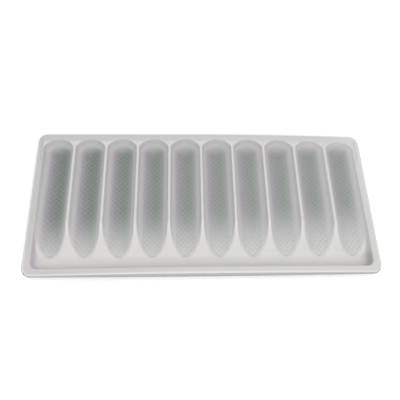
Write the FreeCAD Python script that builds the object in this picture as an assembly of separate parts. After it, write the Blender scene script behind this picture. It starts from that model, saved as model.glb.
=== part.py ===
import FreeCAD, Part
import os
from math import cos, radians, sin, sqrt, tan
from FreeCAD import Vector

# A food tray formed in one piece from thin plastic sheet. Ten half-round pockets lie side by side and
# open at one end, down a ramp, into a trough that runs the whole length. A flat rim with a rounded,
# turned-down edge stiffens it. X runs along the trough, Y from the trough to the closed ends of the
# pockets, and Z is up from the table under the pockets. Millimetres, and angles in degrees.

# The formed sheet
sheet = 0.5                   # wall thickness
wall_draft = 8.0              # how far every wall inside the rim leans out, so that the mould lets go

# Pockets
pocket_count = 10
pocket_mouth = 23.1           # width of one pocket between its ridges, at the top
ridge_width = 2.0             # land between two pockets
pocket_depth = 13.0           # from the rim down to the lowest line of a pocket
pocket_end_bow = 15.5         # radius, seen from above, of a pocket's two ends
pocket_end_foot = 5.0         # rounding from a pocket's closed end to its bottom
pocket_nose = 1.0             # how far a pocket's bottom runs out past the foot of the ramp

# Ridges, ramp and trough, along Y
ridge_length = 71.5           # level part of the ridges, from the rim to the top of the ramp
ramp_run = 22.5               # the ramp's length seen from above
trough_width = 12.0           # from the foot of the ramp to the rim, at the top
trough_depth = 12.4
trough_foot = 4.0             # rounding from the trough's walls to its floor
trough_corner = 5.0           # corner radius of the opening, seen from above

# Rim
flange_width = 5.5            # from the opening to the outside of the turned-down edge
rim_corner = 7.0              # outside corner radius, seen from above
shoulder_radius = 1.5         # the bend from the flat rim to its turned-down edge
skirt_height = 4.0            # from the top of the rim to the trimmed lower edge
skirt_draft = 10.0            # the turned-down edge leans out more than the walls
lip_bevel = 0.4               # edge break where a wall meets the rim or a ridge

# Sizes that follow
pitch = pocket_mouth + ridge_width
opening_length = pocket_count * pitch - ridge_width
opening_width = ridge_length + ramp_run + trough_width
tray_length = opening_length + 2 * flange_width
tray_width = opening_width + 2 * flange_width
rim_top = pocket_depth + sheet
opening_near = -opening_width / 2
opening_far = opening_width / 2
ramp_foot = opening_near + trough_width
ramp_top = ramp_foot + ramp_run
trough_floor = rim_top - trough_depth
clear = 1.0                   # how far a cutting shape stands out past what it cuts
same_level = 0.01             # heights closer than this count as one level


def tapered_block(low_z, high_z, low_plan, high_plan, corner):
    """A block with leaning sides and round upright corners. A plan is (half length, near, far)."""
    (low_x, low_near, low_far), (high_x, high_near, high_far) = low_plan, high_plan
    block = Part.makeWedge(-low_x, low_z, -low_far, -high_far, -high_x,
                           low_x, high_z, -low_near, -high_near, high_x)
    block.rotate(Vector(0, 0, 0), Vector(1, 0, 0), 90)
    upright = [e for e in block.Edges if e.BoundBox.ZLength > (high_z - low_z) / 2]
    return block.makeFillet(corner, upright)


def round_level_edges(solid, z, radius):
    """Round the edges of a solid that lie wholly at height z."""
    return solid.makeFillet(radius, [e for e in solid.Edges if is_level(e, z)])


def is_level(edge, z):
    return max(abs(edge.BoundBox.ZMin - z), abs(edge.BoundBox.ZMax - z)) < same_level


# Every formed wall is what lies between two of the same shape, the second grown past the first by the
# sheet's thickness. grow is 0 for the side that holds the food, and sheet for the side that faces the
# table. top is the height to which the shape is filled.

def trough_space(grow, top):
    """The trough with the slope of the ramp, its walls meeting the floor and the ramp in rounded feet."""
    lean = tan(radians(wall_draft))
    shift = grow / cos(radians(wall_draft))
    floor = trough_floor - grow

    def plan(z):
        inset = (rim_top - z) * lean - shift
        return opening_length / 2 - inset, opening_near + inset, opening_far - inset

    pan = tapered_block(floor, top, plan(floor), plan(top), trough_corner + grow)
    pan = pan.cut(under_ramp(grow))
    feet = [e for e in pan.Edges if is_foot(e, floor)]
    return pan.makeFillet(trough_foot + grow, feet)


def is_foot(edge, floor):
    """True for the edges round the floor and for the two where the ramp meets the side walls."""
    box = edge.BoundBox
    starts_at_floor = box.ZMin < floor + same_level
    ends_at_floor = box.ZMax < floor + same_level
    return ends_at_floor or (starts_at_floor and box.YLength > ramp_run / 2)


def under_ramp(grow):
    """The block under the ramp's slope, which also fills the trough's space where the pockets are."""
    slope = trough_depth / ramp_run
    foot_z = trough_floor - grow * sqrt(1 + slope ** 2)
    low, high = trough_floor - grow - clear, rim_top + 2 * clear
    side, far = opening_length / 2 + clear, opening_far + clear

    def on_slope(z):
        return Vector(-side, ramp_foot + (z - foot_z) / slope, z)

    corners = [on_slope(low), on_slope(high), Vector(-side, far, high), Vector(-side, far, low)]
    face = Part.Face(Part.makePolygon(corners + corners[:1]))
    return face.extrude(Vector(2 * side, 0, 0))


def pocket_space(grow, top):
    """One pocket, centred on X = 0: a half-round groove closed by bowed, leaning ends."""
    groove = groove_section(grow, top).extrude(Vector(0, opening_width + 2 * clear, 0))
    return groove.common(pocket_ends(grow, top))


def groove_section(grow, top):
    """The pocket's cross-section: a round bottom with straight walls that lean out to the mouth."""
    lean = radians(wall_draft)
    half = pocket_mouth / 2
    radius = (half * cos(lean) - pocket_depth * sin(lean)) / (1 - sin(lean))
    centre_z = rim_top - pocket_depth + radius
    radius += grow
    touch_x, touch_z = radius * cos(lean), centre_z - radius * sin(lean)
    top_x = half + grow / cos(lean) + (top - rim_top) * tan(lean)

    def at(x, z):
        return Vector(x, opening_near - clear, z)

    bottom = Part.Arc(at(-touch_x, touch_z), at(0, centre_z - radius), at(touch_x, touch_z))
    wall = Part.makePolygon([at(touch_x, touch_z), at(top_x, top), at(-top_x, top), at(-touch_x, touch_z)])
    return Part.Face(Part.Wire([bottom.toShape()] + wall.Edges))


def pocket_ends(grow, top):
    """A long pan, wider than the pocket, whose two round ends close the groove."""
    lean = tan(radians(wall_draft))
    low = rim_top - pocket_depth - grow
    bow = pocket_end_bow + grow / cos(radians(wall_draft))
    far_centre = opening_far - pocket_end_bow
    near_centre = ramp_foot - pocket_nose - pocket_depth * lean + pocket_end_bow
    bowl = Part.makeCone(bow - (rim_top - low) * lean, bow + (top - rim_top) * lean, top - low)
    closed_end = round_level_edges(bowl, 0, pocket_end_foot + grow)
    middle = Part.makeBox(pocket_mouth + 2 * clear, far_centre - near_centre, top - low)
    middle.translate(Vector(-pocket_mouth / 2 - clear, near_centre, low))
    bowl.translate(Vector(0, near_centre, low))
    closed_end.translate(Vector(0, far_centre, low))
    return middle.multiFuse([bowl, closed_end])


def all_pockets(grow, top):
    pocket = pocket_space(grow, top)
    first = -(pocket_count - 1) * pitch / 2
    return [pocket.translated(Vector(first + n * pitch, 0, 0)) for n in range(pocket_count)]


def rim_block(inset, low, high):
    """The space under the rim: leaning sides, and a shoulder round the top."""
    lean = tan(radians(skirt_draft))
    shift = inset / cos(radians(skirt_draft))
    skirt_edge = rim_top - skirt_height

    def plan(z):
        inward = (z - skirt_edge) * lean + shift
        far = tray_width / 2 - inward
        return tray_length / 2 - inward, -far, far

    block = tapered_block(low, high, plan(low), plan(high), rim_corner - shift)
    return round_level_edges(block, high, shoulder_radius - inset)


def tray():
    skirt_edge = rim_top - skirt_height
    rim = rim_block(0, skirt_edge, rim_top).cut(rim_block(sheet, skirt_edge - clear, rim_top - sheet))
    inside_flange = rim_top - sheet / 2
    outside = trough_space(sheet, inside_flange).multiFuse(all_pockets(sheet, inside_flange))
    inside = trough_space(0, rim_top + clear).multiFuse(all_pockets(0, rim_top + clear))
    formed = rim.fuse(outside).cut(inside)
    return formed.makeChamfer(lip_bevel, [e for e in formed.Edges if is_lip(e)])


def is_lip(edge):
    """True for the level edges, inside the flange, from which the walls go down."""
    box = edge.BoundBox
    in_length = max(-box.XMin, box.XMax) < opening_length / 2 + same_level
    in_width = max(-box.YMin, box.YMax) < opening_width / 2 + same_level
    return is_level(edge, rim_top) and in_length and in_width


os.makedirs("parts", exist_ok=True)
body = tray()
body.exportStep("parts/tray.step")
print("tray", "valid" if body.isValid() else "broken", len(body.Solids), "solid", len(body.Faces), "faces")
print("volume cm3", round(body.Volume / 1000, 2))
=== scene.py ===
from math import asin, cos, degrees, hypot, radians, sin, sqrt, tan

import bpy
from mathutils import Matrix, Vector


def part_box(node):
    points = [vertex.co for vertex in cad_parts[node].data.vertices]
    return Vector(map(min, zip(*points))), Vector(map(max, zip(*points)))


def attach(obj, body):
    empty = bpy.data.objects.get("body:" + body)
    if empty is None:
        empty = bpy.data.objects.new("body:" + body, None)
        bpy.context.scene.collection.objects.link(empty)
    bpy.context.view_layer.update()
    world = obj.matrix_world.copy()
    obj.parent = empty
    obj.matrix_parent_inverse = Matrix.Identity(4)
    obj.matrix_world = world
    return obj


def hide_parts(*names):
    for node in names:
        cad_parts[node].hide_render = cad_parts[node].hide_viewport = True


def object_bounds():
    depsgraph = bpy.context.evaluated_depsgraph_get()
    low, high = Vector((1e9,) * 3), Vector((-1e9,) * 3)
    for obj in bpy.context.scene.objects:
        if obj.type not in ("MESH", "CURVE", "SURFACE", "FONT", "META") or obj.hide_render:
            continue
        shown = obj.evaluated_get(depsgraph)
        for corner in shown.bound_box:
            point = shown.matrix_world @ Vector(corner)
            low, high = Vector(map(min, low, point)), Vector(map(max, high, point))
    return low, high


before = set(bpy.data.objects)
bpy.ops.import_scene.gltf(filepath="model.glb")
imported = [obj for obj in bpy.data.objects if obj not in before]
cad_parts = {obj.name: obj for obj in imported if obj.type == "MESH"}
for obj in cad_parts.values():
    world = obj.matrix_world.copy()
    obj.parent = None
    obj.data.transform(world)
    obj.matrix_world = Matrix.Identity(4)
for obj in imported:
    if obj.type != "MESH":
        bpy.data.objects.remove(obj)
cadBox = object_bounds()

# Formed food tray: one thin sheet with ten half-round pockets, a ramp and a trough. Metres, and X runs
# along the trough, Y from the trough to the closed ends of the pockets, Z up from the table.

mm = 0.001
scene = bpy.context.scene
scene.view_settings.view_transform = "Standard"


# Shapes: the tray's surface, written as heights over the plan

formed = {
    "wallLean": 8,              # degrees, how far every wall leans out
    "lipRadius": 0.8 * mm,      # rounding where a wall turns over onto the rim or a ridge
    "sheet": 0.5 * mm,
    "pocketShadingDepth": 1.0 * mm,     # depth below the rim over which the pockets' painted shade and light fade in
    "pocketShadingEdge": 0.8 * mm,      # the same at the edge where a pocket cuts the ramp
    "pocketShadingStart": 0.3,
}
pocket = {
    "count": 10,
    "mouth": 23.1 * mm,
    "ridge": 2.0 * mm,
    "depth": 13.0 * mm,
    "endBow": 13.4 * mm,        # radius of the closed end seen from above
    "endCorner": 5.0 * mm,      # rounding in plan from the closed end to the ridge
    "endFoot": 8.0 * mm,
    "bulletBlend": 1.0 * mm,    # softness of the edge where a pocket cuts the ramp
    "bulletFade": 2.0 * mm,     # depth over which that softness grows from nothing
    "nose": 1.0 * mm,           # how far the near end reaches past the ramp's foot
    "bowlBlend": 0.8,           # softness of the closed end's corners, as a share of the height there
    "bowlStart": 0.1 * mm,
    "bowlFade": 3.0 * mm,
    "bowFull": 6.0 * mm,        # the closed end's bow holds this far in from its edge
    "bowFade": 14.0 * mm,       # and straightens over this length
}
channel = {
    "near": -53.0 * mm,         # the opening's two long edges
    "far": 53.0 * mm,
    "rampFoot": -41.0 * mm,
    "rampTop": -18.5 * mm,
    "depth": 12.4 * mm,
    "foot": 4.0 * mm,
    "corner": 5.0 * mm,
    "rampBend": 0.7 * mm,       # softness of the ramp's upper and lower bends
    "wallBlend": 1.0 * mm,      # softness between the ramp and a wall
    "cornerInset": 1.3 * mm,    # a corner is fully rounded this far in
    "cornerFade": 5.5 * mm,     # and square again over this length
}
rim = {
    "flange": 5.5 * mm,
    "corner": 7.0 * mm,
    "shoulder": 1.5 * mm,
    "skirt": 4.0 * mm,
    "skirtLean": 10,            # degrees
    "nearLeftDroop": 5.0 * mm,  # how far each corner hangs below the middle of the rim
    "farLeftDroop": 0.0,
    "nearRightDroop": 2.6 * mm,
    "farRightDroop": 5.4 * mm,
    "splay": 0.9 * mm,          # the near edge springs outward by this at its middle
    "splayFrom": 2.0 * mm,      # out from the trough's edge
    "droopPower": 3,            # keeps the droop to the upper part of the walls
    "innerRow": 1.4 * mm,       # where the grid of pockets ends on the flange
    "innerCorner": 2.0 * mm,    # rounding of that outer row
    "innerLimit": 1.2 * mm,
    "ringColour": (0, 0, 0.2, 0.4, 0.5, 0.8, 1, 1, 1),  # from the flange's colour through the shoulder's painted highlight to the turned edge's painted shade
}
hatch = {
    "spacing": 4.2 * mm,        # between ribs of one family, along X
    "height": 0.16 * mm,
    "halfWidth": 6.9 * mm,      # the ribs cover the middle of each pocket's bottom
    "fade": 0.8 * mm,
    "endGap": 6.5 * mm,         # plain strip at the closed end
    "endFade": 1.5 * mm,
    "depthFade": 0.5 * mm,
}
grid = {
    "perRib": 4,                # grid lines from one rib to the next
    "bottomLines": 8,           # across half a pocket's bottom, before its sides steepen
    "sideSteps": 5,
    "lipSteps": 3,
    "wallSteps": 3,
    "footSteps": 5,
    "floorRows": 5,
    "tipGap": 0.1 * mm,         # from the last even row to the rows of the trough's floor
    "shoulderSteps": 5,
    "weld": 0.02 * mm,
}

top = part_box("tray")[1].z
lean = radians(formed["wallLean"])
pitch = pocket["mouth"] + pocket["ridge"]
pocketFloor = top - pocket["depth"]
troughFloor = top - channel["depth"]
grooveRadius = (pocket["mouth"] / 2 * cos(lean) - pocket["depth"] * sin(lean)) / (1 - sin(lean))
step = hatch["spacing"] / grid["perRib"]


def clamp(t):
    return max(0, min(1, t))


def softMin(a, b, blend):
    h = max(blend - abs(a - b), 0) / blend if blend > 1e-7 else 0
    return min(a, b) - h * h * blend / 4


def softMax(a, b, blend):
    return -softMin(-a, -b, blend)


def lipInset():
    # centre of a lip's rounding, in from the opening's edge: negative, so out on the rim
    return formed["lipRadius"] * (tan(lean) - 1 / cos(lean))


def footPlace(floor, radius):
    # centre of the rounding at a wall's foot: distance in from the opening's edge, and height
    centreZ = floor + radius
    return (top - centreZ) * tan(lean) + radius / cos(lean), centreZ


def wallHeight(inset, floor, footRadius):
    # a wall from the rim down to a floor: lip, straight leaning wall, rounded foot
    lip = formed["lipRadius"]
    lipCentre = lipInset()
    footCentre, footZ = footPlace(floor, footRadius)
    if inset <= lipCentre:
        return top
    if inset < lipCentre + lip * cos(lean):
        return top - lip + sqrt(max(lip * lip - (inset - lipCentre) ** 2, 0))
    if inset < footCentre - footRadius * cos(lean):
        return top - inset / tan(lean)
    if inset < footCentre:
        return footZ - sqrt(footRadius ** 2 - (footCentre - inset) ** 2)
    return floor


def pocketHeight(x, y):
    side = wallHeight(pocket["mouth"] / 2 - abs(x), pocketFloor, grooveRadius)
    far = wallHeight(channel["far"] - y, pocketFloor, pocket["endFoot"])
    higher = max(side, far)
    room = clamp((top - higher) / pocket["bowlFade"])
    cavity = softMax(side, far, (pocket["bowlStart"] + pocket["bowlBlend"] * (higher - pocketFloor)) * room)
    nose = pocket["endBow"] - pocket["depth"] * tan(lean)
    noseCentre = channel["rampFoot"] - pocket["nose"] + nose
    beyond = hypot(x, min(y - noseCentre, 0)) - nose
    return max(cavity, pocketFloor + max(beyond, 0) / tan(lean))


def channelHeight(x, y, outer):
    slope = channel["depth"] / (channel["rampTop"] - channel["rampFoot"])
    rampLine = troughFloor + (y - channel["rampFoot"]) * slope
    ramp = softMin(softMax(rampLine, troughFloor, channel["rampBend"]), top, channel["rampBend"])
    wall = wallHeight(y - channel["near"], troughFloor, channel["foot"])
    if outer:
        end = wallHeight(pocket["mouth"] / 2 - outer * x, troughFloor, channel["foot"])
        wall = max(wall, end)
    higher = max(ramp, wall)
    if wall <= troughFloor:
        return ramp
    return softMax(ramp, wall, channel["wallBlend"] * clamp((top - higher) / channel["wallBlend"]))


def sheetHeight(x, y, outer):
    inPocket, inChannel = pocketHeight(x, y), channelHeight(x, y, outer)
    lower = min(inPocket, inChannel)
    blend = pocket["bulletBlend"] * clamp((top - lower) / pocket["bulletFade"])
    return softMin(inPocket, inChannel, blend)


def smooth(t):
    t = clamp(t)
    return t * t * (3 - 2 * t)


def hatchShare(x, y):
    # 1 where the bottom carries ribs, 0 on the walls, the ramp and the trough
    across = smooth((hatch["halfWidth"] - abs(x)) / hatch["fade"] + 0.5)
    farEnd = smooth((channel["far"] - hatch["endGap"] - y) / hatch["endFade"])
    below = smooth((channelHeight(x, y, 0) - pocketHeight(x, y)) / hatch["depthFade"])
    return across * farEnd * below


def pocketShadingShare(x, y, outer):
    # 1 inside a pocket, 0 on the ramp, the trough and the rim: the share of the pockets' painted shade and
    # light
    inPocket, inChannel = pocketHeight(x, y), channelHeight(x, y, outer)
    cut = smooth((inChannel - inPocket) / formed["pocketShadingEdge"] + formed["pocketShadingStart"])
    return cut * smooth((top - inPocket) / formed["pocketShadingDepth"])


def arcSteps(count, fromDegrees, toDegrees):
    return [radians(fromDegrees + (toDegrees - fromDegrees) * n / count) for n in range(count + 1)]


def acrossStations():
    # X of the grid lines from the middle of a pocket to the middle of a ridge, close together where it bends
    upright = 90 - formed["wallLean"]
    half = [step * n for n in range(grid["bottomLines"])]
    start = degrees(asin(half[-1] / grooveRadius))
    half += [grooveRadius * sin(a) for a in arcSteps(grid["sideSteps"], start, upright)[1:]]
    lip = [pocket["mouth"] / 2 - lipInset() - formed["lipRadius"] * cos(a)
           for a in arcSteps(grid["lipSteps"], formed["wallLean"], 90)]
    half += lip + [pitch / 2]
    return [-x for x in reversed(half[1:])] + half


def endInsets(floor, footRadius):
    # distances in from the opening's edge, from the rim to the end of the rounded foot
    start, count = formed["wallLean"], grid["wallSteps"]
    lip = [lipInset() + formed["lipRadius"] * cos(a) for a in arcSteps(grid["lipSteps"], 90, start)]
    footCentre, _ = footPlace(floor, footRadius)
    foot = [footCentre - footRadius * cos(a) for a in arcSteps(grid["footSteps"], start, 90)]
    wall = [lip[-1] + (foot[0] - lip[-1]) * n / count for n in range(1, count)]
    return lip + wall + foot


def alongStations():
    # Y of the grid lines, from the far flange to the near one
    farEnd = [channel["far"] - inset for inset in endInsets(pocketFloor, pocket["endFoot"])]
    nearEnd = [channel["near"] + inset for inset in endInsets(troughFloor, channel["foot"])]
    first = int(farEnd[-1] / step)
    last = round((channel["rampFoot"] - pocket["nose"]) / step)
    bottom = [step * n for n in range(first, last - 1, -1)]
    tip = bottom[-1] - grid["tipGap"]
    floorRows = [tip + (nearEnd[-1] - tip) * n / grid["floorRows"] for n in range(grid["floorRows"])]
    outer = [channel["far"] + rim["innerRow"], channel["near"] - rim["innerRow"]]
    return outer[:1] + farEnd + bottom + floorRows + nearEnd[::-1] + outer[1:]


def endDrop(x):
    # how far the closed end's edge falls back from its middle, in plan
    bow, corner, half = pocket["endBow"], pocket["endCorner"], pocket["mouth"] / 2
    x = min(abs(x), half)
    # where the small corner arc takes over from the large bow
    turn = corner * (1 - half / bow) / (1 - corner / bow)
    if half - x > turn:
        return bow - sqrt(bow ** 2 - x ** 2)
    joinX = half - turn
    joinDrop = bow - sqrt(bow ** 2 - joinX ** 2)
    joinY = corner * sqrt(1 - (joinX / bow) ** 2)
    t = corner - (half - x)
    return joinDrop + joinY - sqrt(max(corner ** 2 - t ** 2, 0))


def pocketCell(name, outer=0):
    # one pitch of the tray from rim to rim; outer is -1 or 1 for the two cells that end at the short rims
    across, along = acrossStations(), alongStations()
    shift = outer * (pocket["count"] - 1) / 2 * pitch
    points, share, pocketShading = [], [], []
    for row, y in enumerate(along):
        inset = channel["far"] - y
        bend = 0 if row == 0 else 1 - smooth((inset - pocket["bowFull"]) / pocket["bowFade"])
        for x in across:
            points.append((x + shift, y - bend * endDrop(x), sheetHeight(x, y, outer)))
            share.append(hatchShare(x, y))
            pocketShading.append(pocketShadingShare(x, y, outer))
    width = len(across)
    faces = []
    for r in range(len(along) - 1):
        for c in range(width - 1):
            a = r * width + c
            faces.append((a, a + width, a + width + 1, a + 1))
    mesh = bpy.data.meshes.new(name)
    mesh.from_pydata(points, [], faces)
    mesh.attributes.new("hatched", "FLOAT", "POINT").data.foreach_set("value", share)
    mesh.attributes.new("pocketShading", "FLOAT", "POINT").data.foreach_set("value", pocketShading)
    return bpy.data.objects.new(name, mesh)


def rimStrip(name, across, along):
    # rings from the grid's outer edge over the flat flange and the shoulder, down the turned-down edge
    gridX = pitch * pocket["count"] / 2
    gridFar, gridNear = along[0], along[-1]
    first = -(pocket["count"] - 1) / 2 * pitch
    xs = [first + n * pitch + x for n in range(pocket["count"]) for x in across[:-1]] + [gridX]
    loop = [(x, gridFar) for x in xs[:-1]] + [(gridX, y) for y in along[:-1]]
    loop += [(x, gridNear) for x in xs[:0:-1]] + [(-gridX, y) for y in along[:0:-1]]
    outX, outY = gridX - pocket["ridge"] / 2 + rim["flange"], channel["far"] + rim["flange"]
    slant = radians(rim["skirtLean"])
    edgeZ = top - rim["skirt"]
    bendZ = top - rim["shoulder"]
    bendInset = (bendZ - edgeZ) * tan(slant) + rim["shoulder"] / cos(slant)
    rings = [(bendInset - rim["shoulder"] * cos(a), bendZ + rim["shoulder"] * sin(a))
             for a in arcSteps(grid["shoulderSteps"], 90, rim["skirtLean"])]
    rings += [(rings[-1][0] / 2, (rings[-1][1] + edgeZ) / 2), (0, edgeZ)]
    points = [(x, y, top) for x, y in loop]
    for inset, z in rings:
        a, b, corner = outX - inset, outY - inset, rim["corner"] - inset
        for x, y in loop:
            px, py = x * a / gridX, y * b / (gridFar if y > 0 else -gridNear)
            cx = max(-a + corner, min(a - corner, px))
            cy = max(-b + corner, min(b - corner, py))
            reach = hypot(px - cx, py - cy)
            if reach > 0:
                px, py = cx + (px - cx) * corner / reach, cy + (py - cy) * corner / reach
            points.append((px, py, z))
    count = len(loop)
    faces = []
    for r in range(len(rings)):
        for n in range(count):
            m = (n + 1) % count
            faces.append((r * count + n, r * count + m, (r + 1) * count + m, (r + 1) * count + n))
    mesh = bpy.data.meshes.new(name)
    mesh.from_pydata(points, [], faces)
    turned = [share for share in rim["ringColour"] for n in range(count)]
    mesh.attributes.new("turned", "FLOAT", "POINT").data.foreach_set("value", turned)
    return bpy.data.objects.new(name, mesh)


# Materials

def toLinear(hexColour):
    parts = [int(hexColour[n:n + 2], 16) / 255 for n in (1, 3, 5)]
    return [c / 12.92 if c <= 0.04045 else ((c + 0.055) / 1.055) ** 2.4 for c in parts] + [1]


def addNode(tree, kind, settings=None, links=None):
    # links: input name or number -> socket to join, or a plain value
    node = tree.nodes.new(kind)
    for key, value in (settings or {}).items():
        setattr(node, key, value)
    for key, value in (links or {}).items():
        if isinstance(value, bpy.types.NodeSocket):
            tree.links.new(value, node.inputs[key])
        else:
            node.inputs[key].default_value = value
    return node


def mathIn(tree):
    # short form for the Math nodes of one tree
    def math(operation, a, b=0.0, c=0.0):
        return addNode(tree, "ShaderNodeMath", {"operation": operation}, {0: a, 1: b, 2: c}).outputs[0]
    return math


def ribDistances(tree, inCell, y, spacing):
    # for each of the two crossing families of ribs: 0 on a rib, 0.5 midway between two
    math = mathIn(tree)
    return [math("PINGPONG", math("DIVIDE", math(slant, inCell, y), spacing), 0.5)
            for slant in ("ADD", "SUBTRACT")]


plastic = {
    "leftRimShaded": "#C4C4C3",       # milky, with painted shade: the rim darker at its left end, lighter at its right
    "rightRimLit": "#D0D0CE",
    # painted highlight along the rim's rounded shoulder
    "shoulder": "#E0E0DE",
    # painted shade on the turned-down edge
    "turnedEdgeShade": "#B4B4B2",
    "ramp": "#D6D4D2",
    "ridge": "#D6D5D3",         # painted light: brightens the ridges and the pockets' lips
    # painted light: the pockets' steep walls made paler
    "wall": "#DAD8D9",
    "leftBottomShade": "#767877",    # painted shade: the pockets' bottoms, darkest at the left
    "rightBottomShade": "#9D9E9E",
    "nearBottom": "#CFD0CE",    # painted shade lifted: the bottoms paler at the open end of the pockets, where less shade falls
    "green": "#6C8273",         # painted coloured light, violet on one side of each pocket and green on the other
    "violet": "#978A9C",
    # painted highlight on the ribs of the cross-hatch
    "ribHighlight": "#BCBEBD",
    # painted shade, tinted violet, at the trough's left end
    "leftEndShade": "#C6BACB",
    # painted shade in the trough's right corner
    "rightCornerShade": "#A6A9A9",
    "roughness": 0.45,
    "roughnessSpread": 0.06,
    "refraction": 1.49,
    "wallFrom": (-0.4 * mm, 6.5 * mm),      # over the floor: from the bottom's colour to the wall's
    "lipFrom": (4.0 * mm, 0.5 * mm),        # under the rim: from the wall's colour to the ridge's
    "rimFrom": (5.2 * mm, 3.4 * mm),        # under the rim: from the ramp's colour to the rim's
    "noseFrom": (1.4 * mm, 0.6 * mm),       # past the ramp's foot: from the trough to the pocket
    "nearRun": 44 * mm,         # the bottoms' painted shade lightens over this length towards the trough
    "nearSlant": 0.05,          # a little sooner at the right
    "bottomSpan": (-120 * mm, 30 * mm),     # in X, from the left bottom's colour to the right one's
    "tintSpan": (-120 * mm, 120 * mm),
    "tintShare": (0.6, 0.3),
    "tintTurn": (-0.8, 0.4),    # violet to green across a pocket
    "tintReach": 9 * mm,
    "tintWanderSize": 90 * mm,
    "mottleSize": 6 * mm,
    "mottle": 0.05,
    "peelSize": 2.5 * mm,
    "peelDepth": 0.05 * mm,
    "peelStrength": 0.25,
    "ribHalf": 0.22,            # half a rib's width, in spacings
    "ribShare": 0.22,
    "ribDepth": 0.25 * mm,
    "flangeX": (125 * mm, 124 * mm),        # the ridges' colour ends at the flange
    "flangeY": (1 * mm, 3 * mm),            # in from the opening's long edges
    "leftShadeSpan": (-116 * mm, -124 * mm),
    "leftShadeShare": 0.45,
    "cornerX": (117 * mm, 124 * mm),
    "cornerY": (-38 * mm, -44 * mm),
    "cornerShare": 0.6,
}


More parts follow.
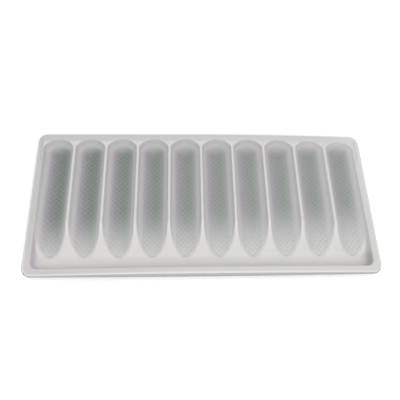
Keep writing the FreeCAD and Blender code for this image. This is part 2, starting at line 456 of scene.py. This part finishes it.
def formedPolypropylene():
    # Thin polypropylene, vacuum formed, milky and satin; painted shade greys the pockets, and painted light
    # pales their walls and lips
    material = bpy.data.materials.new("Vacuum-formed polypropylene")
    material.use_nodes = True
    tree = material.node_tree
    shader = tree.nodes["Principled BSDF"]
    math = mathIn(tree)
    place = addNode(tree, "ShaderNodeTexCoord").outputs["Object"]
    x, y, z = addNode(tree, "ShaderNodeSeparateXYZ", links={0: place}).outputs

    def between(value, low, high, kind="SMOOTHSTEP"):
        return addNode(tree, "ShaderNodeMapRange", {"interpolation_type": kind},
                       {"Value": value, "From Min": low, "From Max": high}).outputs["Result"]

    def ranged(value, spans, results):
        return addNode(tree, "ShaderNodeMapRange", links={
            0: value, 1: spans[0], 2: spans[1], 3: results[0], 4: results[1]}).outputs[0]

    def mix(share, first, second):
        sockets = {0: share, 6: first if isinstance(first, bpy.types.NodeSocket) else toLinear(first),
                   7: second if isinstance(second, bpy.types.NodeSocket) else toLinear(second)}
        return addNode(tree, "ShaderNodeMix", {"data_type": "RGBA"}, sockets).outputs[2]

    def noise(size, detail):
        return addNode(tree, "ShaderNodeTexNoise", links={
            "Vector": place, "Scale": 1 / size, "Detail": detail})

    def attribute(name):
        return addNode(tree, "ShaderNodeAttribute", {"attribute_name": name}).outputs["Fac"]

    # painted shade: a pocket's bottom darker at the left and paler towards the trough; painted coloured
    # light tints it violet on one side and green on the other, more at the left
    inCell = math("SUBTRACT", math("WRAP", x, pitch, 0.0), pitch / 2)
    noseFrom, noseTo = plastic["noseFrom"]
    inPocket = between(y, channel["rampFoot"] - noseFrom, channel["rampFoot"] - noseTo)
    towardNear = math("SUBTRACT", math("MULTIPLY", x, plastic["nearSlant"]), y)
    nearness = between(towardNear, 0.0, plastic["nearRun"])
    nearness = math("MAXIMUM", nearness, math("SUBTRACT", 1.0, inPocket))
    # noise that wanders the edge of the painted coloured light
    tintWander = math("SUBTRACT", noise(plastic["tintWanderSize"], 1.0).outputs["Fac"], 0.5)
    toSide = math("ADD", math("MULTIPLY", inCell, 1 / plastic["tintReach"]), tintWander)
    tinted = mix(between(toSide, *plastic["tintTurn"]), plastic["violet"], plastic["green"])
    bottom = mix(between(x, *plastic["bottomSpan"]), plastic["leftBottomShade"], plastic["rightBottomShade"])
    bottom = mix(ranged(x, plastic["tintSpan"], plastic["tintShare"]), bottom, tinted)
    bottom = mix(nearness, bottom, plastic["nearBottom"])

    # its walls, and the lips where it meets a ridge: painted light, paler than the bottom
    wallFrom, wallTo = plastic["wallFrom"]
    lipFrom, lipTo = plastic["lipFrom"]
    pocketColour = mix(between(z, pocketFloor + wallFrom, pocketFloor + wallTo), bottom, plastic["wall"])
    pocketColour = mix(between(z, top - lipFrom, top - lipTo), pocketColour, plastic["ridge"])

    # the ramp and the trough keep the plain milky colour, without the pockets' painted shade; painted shade
    # darkens the trough's left end and its right corner
    low = mix(math("MULTIPLY", between(x, *plastic["leftShadeSpan"]), plastic["leftShadeShare"]),
              plastic["ramp"], plastic["leftEndShade"])
    # painted shade in the trough's right corner
    corner = math("MULTIPLY", between(x, *plastic["cornerX"]), between(y, *plastic["cornerY"]))
    low = mix(math("MULTIPLY", corner, plastic["cornerShare"]), low, plastic["rightCornerShade"])

    # the ridges, the flange, its shoulder and the turned-down edge: painted shade darkens the rim's left
    # end, a painted highlight lies on the shoulder and painted shade on the turned-down edge
    halfLength = cadBox[1].x
    rimColour = mix(between(x, -halfLength, halfLength, "LINEAR"), plastic["leftRimShaded"], plastic["rightRimLit"])
    edgeFrom, edgeTo = plastic["flangeY"]
    onRidge = math("MULTIPLY", between(math("ABSOLUTE", x), *plastic["flangeX"]),
                   between(y, channel["far"] - edgeFrom, channel["far"] - edgeTo))
    onRidge = math("MULTIPLY", onRidge, between(y, channel["near"] + edgeFrom, channel["near"] + edgeTo))
    rimFrom, rimTo = plastic["rimFrom"]
    flat = mix(between(z, top - rimFrom, top - rimTo), low, mix(onRidge, rimColour, plastic["ridge"]))
    turned = attribute("turned")
    # painted highlight on the shoulder, then painted shade down the turned edge
    flat = mix(between(turned, 0.0, 0.5, "LINEAR"), flat, plastic["shoulder"])
    flat = mix(between(turned, 0.5, 1.0, "LINEAR"), flat, plastic["turnedEdgeShade"])
    # the pockets take their painted shade and painted light
    colour = mix(attribute("pocketShading"), flat, pocketColour)

    # the mould's fine cross-hatch: a painted highlight on its ribs, and the gaps between them lie lower
    hatched = attribute("hatched")
    gaps = [between(distance, 0.0, plastic["ribHalf"])
            for distance in ribDistances(tree, inCell, y, hatch["spacing"])]
    gap = math("MINIMUM", gaps[0], gaps[1])
    ribHighlight = math("MULTIPLY", math("SUBTRACT", 1.0, gap), hatched)
    colour = mix(math("MULTIPLY", ribHighlight, plastic["ribShare"]), colour, plastic["ribHighlight"])
    mottle = noise(plastic["mottleSize"], 3.0)
    colour = addNode(tree, "ShaderNodeMix", {"data_type": "RGBA", "blend_type": "MULTIPLY"},
                     {0: plastic["mottle"], 6: colour, 7: mottle.outputs["Color"]}).outputs[2]
    tree.links.new(colour, shader.inputs["Base Color"])

    # relief: the hatch, and the slight orange peel of formed sheet
    peel = noise(plastic["peelSize"], 2.0)
    groove = math("MULTIPLY", math("MULTIPLY", gap, hatched), -1.0)
    bump = addNode(tree, "ShaderNodeBump", links={
        "Strength": 1.0, "Distance": plastic["ribDepth"], "Height": groove})
    fine = addNode(tree, "ShaderNodeBump", links={
        "Strength": plastic["peelStrength"], "Distance": plastic["peelDepth"],
        "Height": peel.outputs["Fac"], "Normal": bump.outputs[0]})
    tree.links.new(fine.outputs[0], shader.inputs["Normal"])
    rough, spread = plastic["roughness"], plastic["roughnessSpread"]
    satin = ranged(mottle.outputs["Fac"], (0.0, 1.0), (rough - spread, rough + spread))
    tree.links.new(satin, shader.inputs["Roughness"])
    shader.inputs["IOR"].default_value = plastic["refraction"]
    return material


# Geometry Nodes: the row of pockets and the ribs

def sheetTree(material):
    tree = bpy.data.node_groups.new("Formed sheet", "GeometryNodeTree")
    face = tree.interface
    face.new_socket("Geometry", in_out="INPUT", socket_type="NodeSocketGeometry")
    for name, kind in (("Left cell", "Object"), ("Right cell", "Object"), ("Rim", "Object"),
                       ("Pockets", "Int"), ("Pitch", "Float"), ("Rib spacing", "Float"),
                       ("Rib height", "Float")):
        face.new_socket(name, in_out="INPUT", socket_type="NodeSocket" + kind)
    face.new_socket("Geometry", in_out="OUTPUT", socket_type="NodeSocketGeometry")
    given = addNode(tree, "NodeGroupInput").outputs
    math = mathIn(tree)

    # the pockets between the two end ones, then those two and the rim, welded into one sheet
    inner = math("SUBTRACT", given["Pockets"], 2.0)
    start = math("MULTIPLY", math("SUBTRACT", inner, 1.0), math("MULTIPLY", given["Pitch"], -0.5))
    startPlace = addNode(tree, "ShaderNodeCombineXYZ", links={"X": start}).outputs[0]
    offset = addNode(tree, "ShaderNodeCombineXYZ", links={"X": given["Pitch"]}).outputs[0]
    line = addNode(tree, "GeometryNodeMeshLine", {"mode": "OFFSET"},
                   {"Count": inner, "Start Location": startPlace, "Offset": offset})
    row = addNode(tree, "GeometryNodeInstanceOnPoints", links={
        "Points": line.outputs[0], "Instance": given["Geometry"]})
    inners = addNode(tree, "GeometryNodeRealizeInstances", links={0: row.outputs[0]})
    join = addNode(tree, "GeometryNodeJoinGeometry")
    tree.links.new(inners.outputs[0], join.inputs[0])
    for name in ("Left cell", "Right cell", "Rim"):
        piece = addNode(tree, "GeometryNodeObjectInfo", links={"Object": given[name]})
        tree.links.new(piece.outputs["Geometry"], join.inputs[0])
    whole = addNode(tree, "GeometryNodeMergeByDistance", links={
        "Geometry": join.outputs[0], "Distance": grid["weld"]})

    # the ribs rise along the normal, highest on their middle lines
    position = addNode(tree, "GeometryNodeInputPosition").outputs[0]
    place = addNode(tree, "ShaderNodeSeparateXYZ", links={0: position}).outputs
    halfPitch = math("MULTIPLY", given["Pitch"], 0.5)
    inCell = math("SUBTRACT", math("WRAP", place["X"], given["Pitch"], 0.0), halfPitch)
    ribs = [math("MULTIPLY_ADD", distance, -2.0, 1.0)
            for distance in ribDistances(tree, inCell, place["Y"], given["Rib spacing"])]
    crest = math("MAXIMUM", ribs[0], ribs[1])
    share = addNode(tree, "GeometryNodeInputNamedAttribute", {"data_type": "FLOAT"}, {"Name": "hatched"})
    rise = math("MULTIPLY", math("MULTIPLY", crest, share.outputs["Attribute"]), given["Rib height"])
    normal = addNode(tree, "GeometryNodeInputNormal").outputs[0]
    lift = addNode(tree, "ShaderNodeVectorMath", {"operation": "SCALE"}, {0: normal, "Scale": rise})
    moved = addNode(tree, "GeometryNodeSetPosition", links={
        "Geometry": whole.outputs[0], "Offset": lift.outputs[0]})
    softened = addNode(tree, "GeometryNodeSetShadeSmooth", links={0: moved.outputs[0]})
    real = addNode(tree, "GeometryNodeRealizeInstances", links={0: softened.outputs[0]})
    painted = addNode(tree, "GeometryNodeSetMaterial", links={
        "Geometry": real.outputs[0], "Material": material})
    addNode(tree, "NodeGroupOutput", links={0: painted.outputs[0]})
    return tree


def applyNodes(obj, tree, values):
    modifier = obj.modifiers.new("Nodes", "NODES")
    modifier.node_group = tree
    for item in tree.interface.items_tree:
        if item.in_out == "INPUT" and item.name in values:
            modifier[item.identifier] = values[item.name]
    evaluated = obj.evaluated_get(bpy.context.evaluated_depsgraph_get())
    mesh = bpy.data.meshes.new_from_object(evaluated)
    obj.modifiers.remove(modifier)
    return mesh


def roundCorner(x, y):
    # the trough's two end corners, rounded in plan
    endX = pitch * pocket["count"] / 2 - pocket["ridge"] / 2
    inset = min(endX - abs(x), y - channel["near"])
    corner = channel["corner"] * clamp(1 - (inset - channel["cornerInset"]) / channel["cornerFade"])
    if inset < -rim["innerLimit"]:
        corner = rim["innerCorner"]
    centreX, centreY = endX - inset - corner, channel["near"] + inset + corner
    dx, dy = abs(x) - centreX, y - centreY
    if dx <= 0 or dy >= 0:
        return x, y
    reach = hypot(dx, dy)
    side = 1 if x > 0 else -1
    return side * (centreX + dx * corner / reach), centreY + dy * corner / reach


def sagRim(x, y, z):
    # thin sheet springs back unevenly: the corners hang, and the long near edge opens outward at its middle
    halfLength, halfWidth = cadBox[1].x, cadBox[1].y
    far = (y + halfWidth) / (2 * halfWidth)
    side = "Left" if x < 0 else "Right"
    droop = rim["near" + side + "Droop"] * (1 - far) + rim["far" + side + "Droop"] * far
    if y < channel["near"] - rim["splayFrom"]:
        y -= rim["splay"] * max(0, 1 - (x / halfLength) ** 2) * (top - z) / rim["skirt"]
    return x, y, z - droop * (x / halfLength) ** 2 * (max(z, 0) / top) ** rim["droopPower"]


def makeTray(material):
    middle = pocketCell("Pocket cell")
    left, right = pocketCell("Left cell", -1), pocketCell("Right cell", 1)
    strip = rimStrip("Rim strip", acrossStations(), alongStations())
    helpers = [middle, left, right, strip]
    for helper in helpers:
        scene.collection.objects.link(helper)
    mesh = applyNodes(middle, sheetTree(material), {
        "Left cell": left, "Right cell": right, "Rim": strip, "Pockets": pocket["count"], "Pitch": pitch,
        "Rib spacing": hatch["spacing"], "Rib height": hatch["height"]})
    for helper in helpers:
        bpy.data.objects.remove(helper)
    openingEnd = cadBox[1].x - rim["flange"]
    for vertex in mesh.vertices:
        x, y, z = vertex.co
        onSkirtEdge = z <= top - rim["skirt"] * 0.99
        if not onSkirtEdge or abs(x) < openingEnd:
            x, y = roundCorner(x, y)
        vertex.co = sagRim(x, y, z)
    mesh.name = "Tray"
    tray = bpy.data.objects.new("Tray", mesh)
    scene.collection.objects.link(tray)
    wall = tray.modifiers.new("Sheet thickness", "SOLIDIFY")
    wall.thickness = formed["sheet"]
    wall.offset = -1
    wall.use_even_offset = True
    return tray


tray = makeTray(formedPolypropylene())
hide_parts("tray")
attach(tray, "root")
print("tray:", len(tray.data.polygons), "faces on one side")


# Table, light and camera

studio = {
    "lampPower": 5.0,
    "lampSize": 0.9,
    "lampPlace": (0.05, -0.34, 0.86),
    "skyStrength": 0.6,
    "cameraPlace": (-0.0145, -0.1499, 0.3328),
    "cameraTurn": (24.98, -1.775, -1.112),     # degrees
    "lens": 41.9,
    "clipStart": 0.01,
    "tableHalf": 3,
    "tableColour": "#F2F2F2",
    "tableRoughness": 0.9,
    "tableFill": 0.25,          # lifts the shown board to plain white
}


def seenDirectly(tree):
    # 1 for rays from the camera or by way of a mirror or clear plastic, 0 for light falling on the tray
    rays = addNode(tree, "ShaderNodeLightPath").outputs
    math = mathIn(tree)
    seen = math("MAXIMUM", rays["Is Camera Ray"], rays["Is Glossy Ray"])
    return math("MAXIMUM", seen, rays["Is Transmission Ray"])


def paleTable():
    # white painted board; shown as plain white to the camera, with the tray's own shadow kept
    material = bpy.data.materials.new("White painted board")
    material.use_nodes = True
    tree = material.node_tree
    shader = tree.nodes["Principled BSDF"]
    shader.inputs["Base Color"].default_value = toLinear(studio["tableColour"])
    shader.inputs["Roughness"].default_value = studio["tableRoughness"]
    fill = mathIn(tree)("MULTIPLY", seenDirectly(tree), studio["tableFill"])
    shader.inputs["Emission Color"].default_value = (1, 1, 1, 1)
    tree.links.new(fill, shader.inputs["Emission Strength"])
    return material


def makeStudio():
    mesh = bpy.data.meshes.new("Table")
    half = studio["tableHalf"]
    corners = [(-half, -half, 0), (half, -half, 0), (half, half, 0), (-half, half, 0)]
    mesh.from_pydata(corners, [], [(0, 1, 2, 3)])
    table = bpy.data.objects.new("Table", mesh)
    mesh.materials.append(paleTable())
    scene.collection.objects.link(table)

    world = bpy.data.worlds.new("Soft studio")
    scene.world = world
    world.use_nodes = True
    tree = world.node_tree
    sky = tree.nodes["Background"]
    strength = addNode(tree, "ShaderNodeMapRange", links={
        0: seenDirectly(tree), 3: studio["skyStrength"], 4: 1.0})
    tree.links.new(strength.outputs[0], sky.inputs["Strength"])
    sky.inputs["Color"].default_value = (1, 1, 1, 1)

    lamp = bpy.data.lights.new("Softbox", "AREA")
    lamp.energy = studio["lampPower"]
    lamp.size = studio["lampSize"]
    softbox = bpy.data.objects.new("Softbox", lamp)
    softbox.location = studio["lampPlace"]
    softbox.rotation_euler = (-Vector(studio["lampPlace"])).to_track_quat("-Z", "Y").to_euler()
    scene.collection.objects.link(softbox)

    lens = bpy.data.cameras.new("Camera")
    lens.lens = studio["lens"]
    lens.clip_start = studio["clipStart"]
    camera = bpy.data.objects.new("Camera", lens)
    camera.location = studio["cameraPlace"]
    camera.rotation_euler = [radians(turn) for turn in studio["cameraTurn"]]
    scene.collection.objects.link(camera)
    scene.camera = camera


makeStudio()
print("studio: table, softbox and camera")
